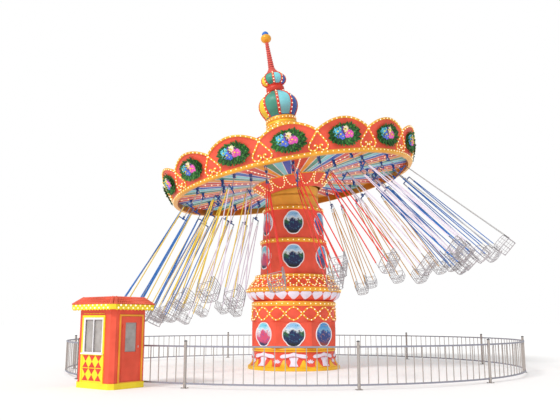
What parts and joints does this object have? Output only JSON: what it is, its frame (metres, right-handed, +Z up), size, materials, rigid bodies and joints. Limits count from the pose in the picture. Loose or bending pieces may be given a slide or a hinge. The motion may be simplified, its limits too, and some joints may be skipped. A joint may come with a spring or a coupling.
{
  "type": "chair swing ride",
  "caption": "Fairground chair swing ride: ornate drum tower, tilted scalloped canopy with flung chairs on chains, onion dome spire, picket fence and operator's booth.",
  "frame": {"origin": "centre of the tower's round base, at ground level", "axes": "+Z up; -Y faces the picture's camera; +X to its right, away from the side to which the canopy tilts"},
  "size_m": [16.5093, 16.6021, 13.5728],
  "materials": {
    "coral": "gloss coat on glass fibre",
    "gold": "gloss paint",
    "cream": "gloss coat on glass fibre",
    "orange": "paint in coloured stripes",
    "yellow": "gloss paint",
    "steel": "bright zinc",
    "galvanised": "dull zinc",
    "glass": "clear"
  },
  "bodies": {
    "tower": {"base_flare": "coral", "base_drum": "coral", "lattice_ring": "coral", "crown_bowl": "cream", "lower_drum": "coral", "upper_drum": "coral", "neck_column": "gold", "fence_front": "galvanised", "fence_right": "galvanised", "fence_left": "galvanised", "booth_plinth": "yellow", "booth_walls": "coral", "booth_window": "glass", "booth_roof": "coral"},
    "tilt_head": {"tilt_head": "steel"},
    "rotor": {"hub_drum": "coral", "hub_plate": "orange", "ceiling_frame": "orange", "canopy_ring": "coral", "roof_cone": "coral", "onion_dome": "gold", "spire": "gold"},
    "booth_door": {"booth_door": "coral", "door_glass": "glass"},
    "chair_outer_01": {"chair_outer_01": "steel"},
    "chair_outer_02": {"chair_outer_02": "steel"},
    "chair_outer_03": {"chair_outer_03": "steel"},
    "chair_outer_04": {"chair_outer_04": "steel"},
    "chair_outer_05": {"chair_outer_05": "steel"},
    "chair_outer_06": {"chair_outer_06": "steel"},
    "chair_outer_07": {"chair_outer_07": "steel"},
    "chair_outer_08": {"chair_outer_08": "steel"},
    "chair_outer_09": {"chair_outer_09": "steel"},
    "chair_outer_10": {"chair_outer_10": "steel"},
    "chair_outer_11": {"chair_outer_11": "steel"},
    "chair_outer_12": {"chair_outer_12": "steel"},
    "chair_middle_01": {"chair_middle_01": "steel"},
    "chair_middle_02": {"chair_middle_02": "steel"},
    "chair_middle_03": {"chair_middle_03": "steel"},
    "chair_middle_04": {"chair_middle_04": "steel"},
    "chair_middle_05": {"chair_middle_05": "steel"},
    "chair_middle_06": {"chair_middle_06": "steel"},
    "chair_middle_07": {"chair_middle_07": "steel"},
    "chair_middle_08": {"chair_middle_08": "steel"},
    "chair_middle_09": {"chair_middle_09": "steel"},
    "chair_middle_10": {"chair_middle_10": "steel"},
    "chair_middle_11": {"chair_middle_11": "steel"},
    "chair_middle_12": {"chair_middle_12": "steel"},
    "chair_inner_01": {"chair_inner_01": "steel"},
    "chair_inner_02": {"chair_inner_02": "steel"},
    "chair_inner_03": {"chair_inner_03": "steel"},
    "chair_inner_04": {"chair_inner_04": "steel"},
    "chair_inner_05": {"chair_inner_05": "steel"},
    "chair_inner_06": {"chair_inner_06": "steel"},
    "chair_inner_07": {"chair_inner_07": "steel"},
    "chair_inner_08": {"chair_inner_08": "steel"},
    "chair_inner_09": {"chair_inner_09": "steel"},
    "chair_inner_10": {"chair_inner_10": "steel"},
    "chair_inner_11": {"chair_inner_11": "steel"},
    "chair_inner_12": {"chair_inner_12": "steel"}
  },
  "joints": [
    {"name": "canopy_tilt", "type": "hinge", "parent": "tower", "child": "tilt_head", "pos_m": [0, 0, 6.943], "axis": [0, 1, 0], "range_deg": [0, 9.9]},
    {"name": "canopy_spin", "type": "hinge", "parent": "tilt_head", "child": "rotor", "pos_m": [0, 0, 6.943], "axis": [-0.1719, 0, 0.9851], "continuous": true},
    {"name": "booth_door_swing", "type": "hinge", "parent": "tower", "child": "booth_door", "pos_m": [-4.47615, -8.0139, 1], "axis": [0, 0, -1], "range_deg": [0, 100]},
    {"name": "fling_outer_01", "type": "hinge", "parent": "rotor", "child": "chair_outer_01", "pos_m": [-0.00688, -4.07, 6.9824], "axis": [-0.9698, -0.1754, -0.1693], "range_deg": [-36, 0]},
    {"name": "fling_outer_02", "type": "hinge", "parent": "rotor", "child": "chair_outer_02", "pos_m": [1.99782, -3.52472, 7.33228], "axis": [-0.7535, -0.6441, -0.1315], "range_deg": [-36, 0]},
    {"name": "fling_outer_03", "type": "hinge", "parent": "rotor", "child": "chair_outer_03", "pos_m": [3.46536, -2.035, 7.58841], "axis": [-0.3353, -0.9403, -0.0585], "range_deg": [-36, 0]},
    {"name": "fling_outer_04", "type": "hinge", "parent": "rotor", "child": "chair_outer_04", "pos_m": [4.00252, 0, 7.68216], "axis": [0.1728, -0.9845, 0.0302], "range_deg": [-36, 0]},
    {"name": "fling_outer_05", "type": "hinge", "parent": "rotor", "child": "chair_outer_05", "pos_m": [3.46536, 2.035, 7.58841], "axis": [0.6345, -0.7649, 0.1107], "range_deg": [-36, 0]},
    {"name": "fling_outer_06", "type": "hinge", "parent": "rotor", "child": "chair_outer_06", "pos_m": [1.99782, 3.52472, 7.33228], "axis": [0.9263, -0.3404, 0.1617], "range_deg": [-36, 0]},
    {"name": "fling_outer_07", "type": "hinge", "parent": "rotor", "child": "chair_outer_07", "pos_m": [-0.00688, 4.07, 6.9824], "axis": [0.9698, 0.1754, 0.1693], "range_deg": [-36, 0]},
    {"name": "fling_outer_08", "type": "hinge", "parent": "rotor", "child": "chair_outer_08", "pos_m": [-2.01158, 3.52472, 6.63253], "axis": [0.7535, 0.6441, 0.1315], "range_deg": [-36, 0]},
    {"name": "fling_outer_09", "type": "hinge", "parent": "rotor", "child": "chair_outer_09", "pos_m": [-3.47912, 2.035, 6.3764], "axis": [0.3353, 0.9403, 0.0585], "range_deg": [-36, 0]},
    {"name": "fling_outer_10", "type": "hinge", "parent": "rotor", "child": "chair_outer_10", "pos_m": [-4.01627, 0, 6.28265], "axis": [-0.1728, 0.9845, -0.0302], "range_deg": [-36, 0]},
    {"name": "fling_outer_11", "type": "hinge", "parent": "rotor", "child": "chair_outer_11", "pos_m": [-3.47912, -2.035, 6.3764], "axis": [-0.6345, 0.7649, -0.1107], "range_deg": [-36, 0]},
    {"name": "fling_outer_12", "type": "hinge", "parent": "rotor", "child": "chair_outer_12", "pos_m": [-2.01158, -3.52472, 6.63253], "axis": [-0.9263, 0.3404, -0.1617], "range_deg": [-36, 0]},
    {"name": "fling_middle_01", "type": "hinge", "parent": "rotor", "child": "chair_middle_01", "pos_m": [0.90845, -3.46767, 7.14215], "axis": [-0.8921, -0.4242, -0.1557], "range_deg": [-36, 0]},
    {"name": "fling_middle_02", "type": "hinge", "parent": "rotor", "child": "chair_middle_02", "pos_m": [2.49384, -2.53851, 7.41885], "axis": [-0.5636, -0.8202, -0.0984], "range_deg": [-36, 0]},
    {"name": "fling_middle_03", "type": "hinge", "parent": "rotor", "child": "chair_middle_03", "pos_m": [3.40916, -0.92916, 7.5786], "axis": [-0.0841, -0.9963, -0.0147], "range_deg": [-36, 0]},
    {"name": "fling_middle_04", "type": "hinge", "parent": "rotor", "child": "chair_middle_04", "pos_m": [3.40916, 0.92916, 7.5786], "axis": [0.4179, -0.9056, 0.0729], "range_deg": [-36, 0]},
    {"name": "fling_middle_05", "type": "hinge", "parent": "rotor", "child": "chair_middle_05", "pos_m": [2.49384, 2.53851, 7.41885], "axis": [0.8079, -0.5721, 0.141], "range_deg": [-36, 0]},
    {"name": "fling_middle_06", "type": "hinge", "parent": "rotor", "child": "chair_middle_06", "pos_m": [0.90845, 3.46767, 7.14215], "axis": [0.9815, -0.0854, 0.1713], "range_deg": [-36, 0]},
    {"name": "fling_middle_07", "type": "hinge", "parent": "rotor", "child": "chair_middle_07", "pos_m": [-0.9222, 3.46767, 6.82266], "axis": [0.8921, 0.4242, 0.1557], "range_deg": [-36, 0]},
    {"name": "fling_middle_08", "type": "hinge", "parent": "rotor", "child": "chair_middle_08", "pos_m": [-2.50759, 2.53851, 6.54596], "axis": [0.5636, 0.8202, 0.0984], "range_deg": [-36, 0]},
    {"name": "fling_middle_09", "type": "hinge", "parent": "rotor", "child": "chair_middle_09", "pos_m": [-3.42292, 0.92916, 6.38621], "axis": [0.0841, 0.9963, 0.0147], "range_deg": [-36, 0]},
    {"name": "fling_middle_10", "type": "hinge", "parent": "rotor", "child": "chair_middle_10", "pos_m": [-3.42292, -0.92916, 6.38621], "axis": [-0.4179, 0.9056, -0.0729], "range_deg": [-36, 0]},
    {"name": "fling_middle_11", "type": "hinge", "parent": "rotor", "child": "chair_middle_11", "pos_m": [-2.50759, -2.53851, 6.54596], "axis": [-0.8079, 0.5721, -0.141], "range_deg": [-36, 0]},
    {"name": "fling_middle_12", "type": "hinge", "parent": "rotor", "child": "chair_middle_12", "pos_m": [-0.9222, -3.46767, 6.82266], "axis": [-0.9815, 0.0854, -0.1713], "range_deg": [-36, 0]},
    {"name": "fling_inner_01", "type": "hinge", "parent": "rotor", "child": "chair_inner_01", "pos_m": [-0.00688, -3.01, 6.9824], "axis": [-0.9698, -0.1754, -0.1693], "range_deg": [-36, 0]},
    {"name": "fling_inner_02", "type": "hinge", "parent": "rotor", "child": "chair_inner_02", "pos_m": [1.47571, -2.60674, 7.24116], "axis": [-0.7535, -0.6441, -0.1315], "range_deg": [-36, 0]},
    {"name": "fling_inner_03", "type": "hinge", "parent": "rotor", "child": "chair_inner_03", "pos_m": [2.56104, -1.505, 7.43058], "axis": [-0.3353, -0.9403, -0.0585], "range_deg": [-36, 0]},
    {"name": "fling_inner_04", "type": "hinge", "parent": "rotor", "child": "chair_inner_04", "pos_m": [2.9583, 0, 7.49991], "axis": [0.1728, -0.9845, 0.0302], "range_deg": [-36, 0]},
    {"name": "fling_inner_05", "type": "hinge", "parent": "rotor", "child": "chair_inner_05", "pos_m": [2.56104, 1.505, 7.43058], "axis": [0.6345, -0.7649, 0.1107], "range_deg": [-36, 0]},
    {"name": "fling_inner_06", "type": "hinge", "parent": "rotor", "child": "chair_inner_06", "pos_m": [1.47571, 2.60674, 7.24116], "axis": [0.9263, -0.3404, 0.1617], "range_deg": [-36, 0]},
    {"name": "fling_inner_07", "type": "hinge", "parent": "rotor", "child": "chair_inner_07", "pos_m": [-0.00688, 3.01, 6.9824], "axis": [0.9698, 0.1754, 0.1693], "range_deg": [-36, 0]},
    {"name": "fling_inner_08", "type": "hinge", "parent": "rotor", "child": "chair_inner_08", "pos_m": [-1.48947, 2.60674, 6.72365], "axis": [0.7535, 0.6441, 0.1315], "range_deg": [-36, 0]},
    {"name": "fling_inner_09", "type": "hinge", "parent": "rotor", "child": "chair_inner_09", "pos_m": [-2.5748, 1.505, 6.53423], "axis": [0.3353, 0.9403, 0.0585], "range_deg": [-36, 0]},
    {"name": "fling_inner_10", "type": "hinge", "parent": "rotor", "child": "chair_inner_10", "pos_m": [-2.97206, 0, 6.4649], "axis": [-0.1728, 0.9845, -0.0302], "range_deg": [-36, 0]},
    {"name": "fling_inner_11", "type": "hinge", "parent": "rotor", "child": "chair_inner_11", "pos_m": [-2.5748, -1.505, 6.53423], "axis": [-0.6345, 0.7649, -0.1107], "range_deg": [-36, 0]},
    {"name": "fling_inner_12", "type": "hinge", "parent": "rotor", "child": "chair_inner_12", "pos_m": [-1.48947, -2.60674, 6.72365], "axis": [-0.9263, 0.3404, -0.1617], "range_deg": [-36, 0]}
  ],
  "couplings": [
    {"joint": "fling_outer_02", "follows": "fling_outer_01", "ratio": 1},
    {"joint": "fling_outer_03", "follows": "fling_outer_01", "ratio": 1},
    {"joint": "fling_outer_04", "follows": "fling_outer_01", "ratio": 1},
    {"joint": "fling_outer_05", "follows": "fling_outer_01", "ratio": 1},
    {"joint": "fling_outer_06", "follows": "fling_outer_01", "ratio": 1},
    {"joint": "fling_outer_07", "follows": "fling_outer_01", "ratio": 1},
    {"joint": "fling_outer_08", "follows": "fling_outer_01", "ratio": 1},
    {"joint": "fling_outer_09", "follows": "fling_outer_01", "ratio": 1},
    {"joint": "fling_outer_10", "follows": "fling_outer_01", "ratio": 1},
    {"joint": "fling_outer_11", "follows": "fling_outer_01", "ratio": 1},
    {"joint": "fling_outer_12", "follows": "fling_outer_01", "ratio": 1},
    {"joint": "fling_middle_01", "follows": "fling_outer_01", "ratio": 1},
    {"joint": "fling_middle_02", "follows": "fling_outer_01", "ratio": 1},
    {"joint": "fling_middle_03", "follows": "fling_outer_01", "ratio": 1},
    {"joint": "fling_middle_04", "follows": "fling_outer_01", "ratio": 1},
    {"joint": "fling_middle_05", "follows": "fling_outer_01", "ratio": 1},
    {"joint": "fling_middle_06", "follows": "fling_outer_01", "ratio": 1},
    {"joint": "fling_middle_07", "follows": "fling_outer_01", "ratio": 1},
    {"joint": "fling_middle_08", "follows": "fling_outer_01", "ratio": 1},
    {"joint": "fling_middle_09", "follows": "fling_outer_01", "ratio": 1},
    {"joint": "fling_middle_10", "follows": "fling_outer_01", "ratio": 1},
    {"joint": "fling_middle_11", "follows": "fling_outer_01", "ratio": 1},
    {"joint": "fling_middle_12", "follows": "fling_outer_01", "ratio": 1},
    {"joint": "fling_inner_01", "follows": "fling_outer_01", "ratio": 1},
    {"joint": "fling_inner_02", "follows": "fling_outer_01", "ratio": 1},
    {"joint": "fling_inner_03", "follows": "fling_outer_01", "ratio": 1},
    {"joint": "fling_inner_04", "follows": "fling_outer_01", "ratio": 1},
    {"joint": "fling_inner_05", "follows": "fling_outer_01", "ratio": 1},
    {"joint": "fling_inner_06", "follows": "fling_outer_01", "ratio": 1},
    {"joint": "fling_inner_07", "follows": "fling_outer_01", "ratio": 1},
    {"joint": "fling_inner_08", "follows": "fling_outer_01", "ratio": 1},
    {"joint": "fling_inner_09", "follows": "fling_outer_01", "ratio": 1},
    {"joint": "fling_inner_10", "follows": "fling_outer_01", "ratio": 1},
    {"joint": "fling_inner_11", "follows": "fling_outer_01", "ratio": 1},
    {"joint": "fling_inner_12", "follows": "fling_outer_01", "ratio": 1}
  ]
}
